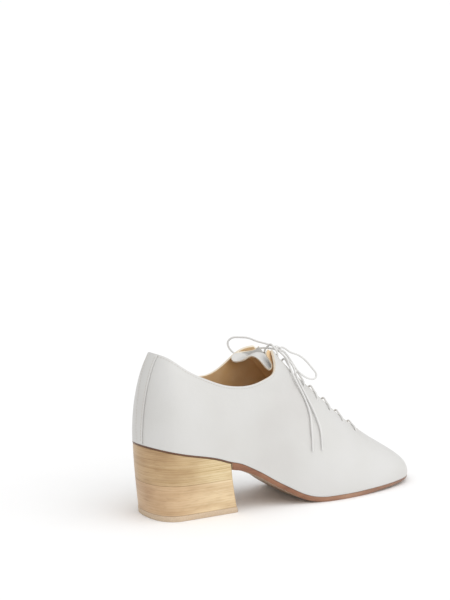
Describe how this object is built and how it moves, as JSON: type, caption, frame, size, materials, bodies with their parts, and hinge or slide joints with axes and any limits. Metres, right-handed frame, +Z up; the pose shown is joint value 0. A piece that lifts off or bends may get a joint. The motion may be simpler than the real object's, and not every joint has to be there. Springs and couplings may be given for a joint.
{
  "type": "heeled lace-up shoe",
  "caption": "White leather lace-up shoe for a right foot, with a bellows tongue, brown leather sole and a stacked wooden block heel.",
  "frame": {"origin": "centre of the shoe's bounding box, bow left out, on the floor", "axes": "+X to the toe, +Y to the inner side of the foot, +Z up"},
  "size_m": [0.2428, 0.0806, 0.1204],
  "materials": {
    "white_calf": "smooth",
    "tan_lining": "matte",
    "sole_leather": "waxed",
    "upper_wood": "satin",
    "lower_wood": "satin",
    "lift_rubber": "matte",
    "lace_cotton": "matte"
  },
  "bodies": {
    "root": {"upper": "white_calf", "back_strip": "white_calf", "tongue": "white_calf", "insole": "tan_lining", "outsole": "sole_leather", "heel_upper_block": "upper_wood", "heel_lower_block": "lower_wood", "top_lift": "lift_rubber", "lace_bar_1": "lace_cotton", "lace_bar_2": "lace_cotton", "lace_bar_3": "lace_cotton", "lace_bar_4": "lace_cotton", "lace_bar_5": "lace_cotton", "lace_bar_6": "lace_cotton", "lace_bar_7": "lace_cotton", "lace_knot": "lace_cotton", "lace_loop_inner": "lace_cotton", "lace_loop_outer": "lace_cotton", "lace_end_rear": "lace_cotton", "lace_end_front": "lace_cotton"}
  },
  "joints": []
}
